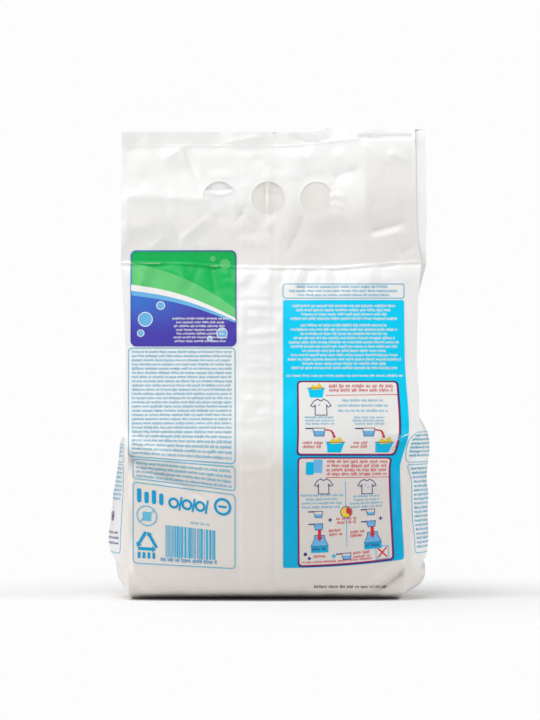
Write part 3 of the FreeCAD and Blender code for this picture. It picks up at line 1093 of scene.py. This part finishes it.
def print_right_column(press):
    """The narrow box and the blue field with its two white insets."""
    press.box("teal", 9.8, 194.9, 88.7, 204.1, 1.6, 0.5)
    press.words("teal", 12.0, 86.5, 202.8, 3, 2.7, 1.1, centred=True)
    press.field("cyan", 9.8, 18.9, 88.7, 193.6, 1.2, 0)
    press.words("white", 13.5, 85.5, 190.4, 4, 2.75, 1.3, weight=0.23, centred=True)
    press.words("white", 12.5, 86.5, 177.8, 11, 2.78, 1.3, weight=0.23, centred=True)
    press.words("white", 12.0, 87.0, 144.8, 1, 2.7, 1.1, weight=0.28)
    for low, high, left, right in ((92.8, 140.6, 19.2, 83.0), (20.0, 90.8, 20.0, 81.6)):
        press.box("navy", left, low - 0.2, right + 0.2, high - 0.2, 2.2, 1.2, 1)
        press.box("red", left + 0.6, low + 0.6, right - 0.6, high - 0.6, 2.0, 0.8, 2)
        press.field("white", left + 0.7, low + 0.7, right - 0.7, high - 0.7, 1.6, 3, cell=0.9)


def print_hand_washing(press):
    """The upper inset: washing by hand."""
    basin(press, 30.9, 134.0, 10.6)
    press.words("red", 39.2, 79.9, 138.3, 2, 2.8, 1.5, 4, 0.4)
    press.line("red", [(37.3, 131.5), (82.2, 132.0)], 0.4, 4)
    shirt(press, 33.7, 123.8, 10.4, 1)
    press.words("teal", 42.8, 77.5, 128.8, 3, 3.4, 1.2, 4, centred=True)
    for side in (0.0, 31.2):
        press.words("teal", 21.6 + side, 44.2 + side, 117.6, 3, 2.1, 1.0, 4, centred=True)
        cup(press, 31.9 + side, 107.6, 8.4, 0.65)
        pour = ((36.6, 109.0), (39.6, 108.6), (41.4, 106.8))
        press.line("red", [(x + side, z) for x, z in pour], 0.9, 4)
        arrow(press, (40.4 + side, 108.0), (42.6 + side, 103.4), 1.1)
        basin(press, 43.2 + side, 98.6, 11.6)
        press.words("red", 21.9 + side, 35.2 + side, 101.2, 2, 2.6, 1.4, 4, 0.4, centred=True)


def print_machine_washing(press):
    """The lower inset: washing by machine."""
    press.field("cyan", 25.2, 79.6, 30.4, 88.0, 0.8, 4)
    press.field("sky", 30.2, 80.8, 36.2, 89.6, 0.5, 4)
    press.words("red", 39.2, 79.6, 89.0, 4, 2.75, 1.5, 4, 0.4)
    press.line("red", [(38.8, 77.8), (81.0, 77.8)], 0.4, 4)
    press.line("sky", [(51.8, 75.0), (51.8, 31.5)], 0.5, 4)
    shirt(press, 37.1, 72.0, 10.0)
    shirt(press, 66.3, 71.4, 10.0, 2)
    press.words("teal", 21.4, 50.4, 66.6, 4, 2.6, 1.1, 4, centred=True)
    press.words("teal", 54.0, 77.4, 65.4, 4, 2.45, 1.1, 4, centred=True)
    dial = (52.0, 54.4)
    press.disc("yellow", *dial, 3.7, 4)
    press.ring("navy", *dial, 3.8, 0.45, 5)
    arc = [(math.cos(turn), math.sin(turn)) for turn in (1.5, 0.9, 0.3, -0.3, -0.8)]
    press.shape("red", placed([(0, 0)] + arc, *dial, 3.4), 6)
    for x, z in ((33.0, 53.6), (67.9, 53.6)):
        cup(press, x, z, 6.4, 0.5)
        cup(press, x, z - 8.2, 6.4, 1.0)
        drum(press, x + 0.9, z - 19.6, 11.4)
        arrow(press, (x + 0.9, z - 10.6), (x + 0.9, z - 18.0), 2.0)
    plus(press, "navy", 41.1, 49.6, 1.1)
    plus(press, "navy", 74.6, 48.6, 1.1)
    press.words("red", 44.6, 59.4, 50.6, 2, 2.5, 1.3, 4, 0.4, centred=True)
    for left, right, top in ((39.0, 50.4, 43.2), (53.6, 64.0, 41.4)):
        press.words("red", left, right, top, 2, 2.6, 1.4, 4, 0.4, centred=True)
    press.disc("navy", 24.4, 27.6, 1.2, 4)
    press.disc("navy", 27.0, 24.8, 1.0, 4)
    press.words("red", 29.8, 38.0, 26.6, 1, 2.5, 1.3, 4, 0.4)
    plus(press, "cyan", 43.0, 25.6, 1.2)
    cup(press, 51.0, 25.0, 6.6, 0.6)
    press.words("red", 55.8, 67.4, 27.2, 2, 2.5, 1.3, 4, 0.4)
    press.box("cyan", 70.6, 20.9, 78.8, 29.4, 0.8, 0.45, 4)
    press.line("red", [(71.8, 22.2), (77.6, 28.2)], 0.9, 4)
    press.line("red", [(71.8, 28.2), (77.6, 22.2)], 0.9, 4)
    press.words("red", 22.0, 68.0, 22.8, 1, 2.5, 1.0, 4, 0.3)


def print_gusset(press, top, signs):
    """Two boxes of fine print on a gusset, the lower one with or without round signs."""
    press.box("teal", -27.0, 88.5, 27.0, top, 2.0, 0.5)
    press.words("teal", -25.0, 25.0, top - 1.6, int((top - 90) / 2.6), 2.6, 1.2, weight=0.22)
    press.box("teal", -27.0, 30.0, 27.0, 87.0, 2.0, 0.5)
    press.words("teal", -25.0, 25.0, 85.0, 8 if signs else 19, 2.8, 1.2, weight=0.22)
    if signs:
        for step in range(3):
            press.disc("navy", -20.0 + 16.0 * step, 53.5, 3.2, 1)
            press.ring("white", -20.0 + 16.0 * step, 53.5, 1.8, 0.5, 2)
        press.words("navy", -25.0, 25.0, 43.5, 3, 3.4, 1.1)


def print_front(press):
    """A plain front: sweeping fields of colour and bubbles."""

    def wave(middle, height, length, start):
        return lambda x: middle + height * np.sin((x - start) / length)

    def level_line(height):
        return lambda x: np.full_like(x, height)

    press.band("cyan", -86, 86, level_line(22), wave(128, 9, 34, -20), 0, cell=1.5)
    press.band("violet", -86, 86, level_line(22), wave(60, 8, 40, 10), 2, cell=1.5)
    press.band("leaf", -86, 86, wave(130, 9, 34, -20), wave(146, 12, 38, -30), 2, cell=1.5)
    press.band("green", -86, 86, wave(148, 12, 38, -30), level_line(196), 2, cell=1.5)
    bubbles = (
        (-58, 92, 11), (-36, 112, 6), (-68, 116, 4), (50, 82, 14), (66, 106, 6), (30, 104, 4),
    )
    for x, z, size in bubbles:
        press.disc("sky", x, z, size, 4)
        press.ring("white", x, z, size, 0.9, 5)


def make_print():
    """Print every side, and make one piece of each ink."""
    back = Press(on_back)
    print_label(back)
    print_left_column(back)
    print_right_column(back)
    print_hand_washing(back)
    print_machine_washing(back)
    back.words("black", 30.0, 76.9, 7.2, 1, 2.0, 1.2, 1, 0.4)
    print_gusset(Press(on_right_gusset), 108.0, False)
    print_gusset(Press(on_left_gusset), 100.0, True)
    print_front(Press(on_front))
    for ink, sheet in printed.items():
        new_piece("print_" + ink, np.concatenate(sheet["points"]), sheet["faces"], INKS[ink])


# The studio

BACKDROP = (*from_srgb(253, 253, 253), 1)


def make_floor():
    """A pale floor, lit where the bag's shadow falls and plain white beyond."""
    lit_within = 0.10
    white_beyond = 0.30
    bpy.ops.mesh.primitive_plane_add(size=12)
    floor = bpy.context.object
    floor.name = "floor"
    floor.location.y = 4
    material = bpy.data.materials.new("floor_white")
    material.use_nodes = True
    nodes = material.node_tree.nodes
    links = material.node_tree.links
    shader = nodes["Principled BSDF"]
    shader.inputs["Base Color"].default_value = (0.93, 0.93, 0.925, 1)
    shader.inputs["Roughness"].default_value = 0.8
    shader.inputs["Specular IOR Level"].default_value = 0.1
    glow = add_node(nodes, "Emission", {"Color": BACKDROP})
    ray = add_node(nodes, "LightPath")
    geometry = add_node(nodes, "NewGeometry")
    distance = add_node(nodes, "VectorMath")
    distance.operation = "LENGTH"
    links.new(geometry.outputs["Position"], distance.inputs[0])
    far = add_node(nodes, "MapRange", {"From Min": lit_within, "From Max": white_beyond})
    far.interpolation_type = "SMOOTHSTEP"
    links.new(distance.outputs["Value"], far.inputs["Value"])
    seen = add_node(nodes, "Math")
    seen.operation = "MULTIPLY"
    links.new(ray.outputs["Is Camera Ray"], seen.inputs[0])
    links.new(far.outputs["Result"], seen.inputs[1])
    mix = add_node(nodes, "MixShader")
    links.new(seen.outputs["Value"], mix.inputs["Fac"])
    links.new(shader.outputs["BSDF"], mix.inputs[1])
    links.new(glow.outputs["Emission"], mix.inputs[2])
    links.new(mix.outputs["Shader"], nodes["Material Output"].inputs["Surface"])
    floor.data.materials.append(material)


def make_world():
    """Soft light from all round, and a white background."""
    world = bpy.data.worlds.new("studio")
    world.use_nodes = True
    nodes = world.node_tree.nodes
    links = world.node_tree.links
    light = nodes["Background"]
    light.inputs["Color"].default_value = (1.0, 0.997, 0.99, 1)
    light.inputs["Strength"].default_value = 0.34
    backdrop = add_node(nodes, "Background", {"Color": BACKDROP})
    ray = add_node(nodes, "LightPath")
    mix = add_node(nodes, "MixShader")
    links.new(ray.outputs["Is Camera Ray"], mix.inputs["Fac"])
    links.new(light.outputs["Background"], mix.inputs[1])
    links.new(backdrop.outputs["Background"], mix.inputs[2])
    links.new(mix.outputs["Shader"], nodes["World Output"].inputs["Surface"])
    bpy.context.scene.world = world


def add_lamp(name, place, target, size, power):
    """A soft box, with its place, target and size in metres and its power in watts."""
    data = bpy.data.lights.new(name, "AREA")
    data.shape = "RECTANGLE"
    data.size, data.size_y = size
    data.energy = power
    lamp = bpy.data.objects.new(name, data)
    lamp.location = place
    lamp.rotation_euler = (Vector(target) - Vector(place)).to_track_quat("-Z", "Y").to_euler()
    bpy.context.scene.collection.objects.link(lamp)


def add_camera():
    """The photograph's view. SEEN_HEIGHT is what its frame spans at the bag's middle."""
    data = bpy.data.cameras.new("camera")
    data.sensor_fit = "VERTICAL"
    data.sensor_height = 36.0
    data.lens = data.sensor_height * CAMERA_DISTANCE / SEEN_HEIGHT
    camera = bpy.data.objects.new("camera", data)
    camera.location = (CAMERA_SIDE * MM, -CAMERA_DISTANCE * MM, CAMERA_HEIGHT * MM)
    camera.rotation_euler = (math.radians(90), 0, 0)
    bpy.context.scene.collection.objects.link(camera)
    bpy.context.scene.camera = camera


make_back_panel()
make_other_sides()
# The left tab is plain film; the other two take the tab film's painted shade
make_tab("tab_left", TAB_PLACES[0], 0.8, 0.9, 0.0, FILM)
make_tab("tab_middle", TAB_PLACES[1], 0.5, 0.0, 1.3, TAB_FILM_PAINTED_SHADE)
make_tab("tab_right", TAB_PLACES[2], 0.3, 0.0, 0.0, TAB_FILM_PAINTED_SHADE)
make_print()
make_floor()
make_world()
add_lamp("softbox_above", (-0.35, -0.6, 1.75), (0, 0, 0.12), (1.1, 0.9), 12.6)
add_lamp("softbox_behind", (-0.3, 0.8, 1.6), (0, 0, 0.1), (1.4, 1.0), 4.5)
add_lamp("softbox_left", (-1.45, -0.45, 0.65), (0, 0, 0.12), (1.1, 1.3), 12.5)
add_lamp("softbox_right", (1.45, -0.45, 0.65), (0, 0, 0.12), (1.1, 1.3), 10.3)
add_camera()
bpy.context.scene.view_settings.view_transform = "Standard"
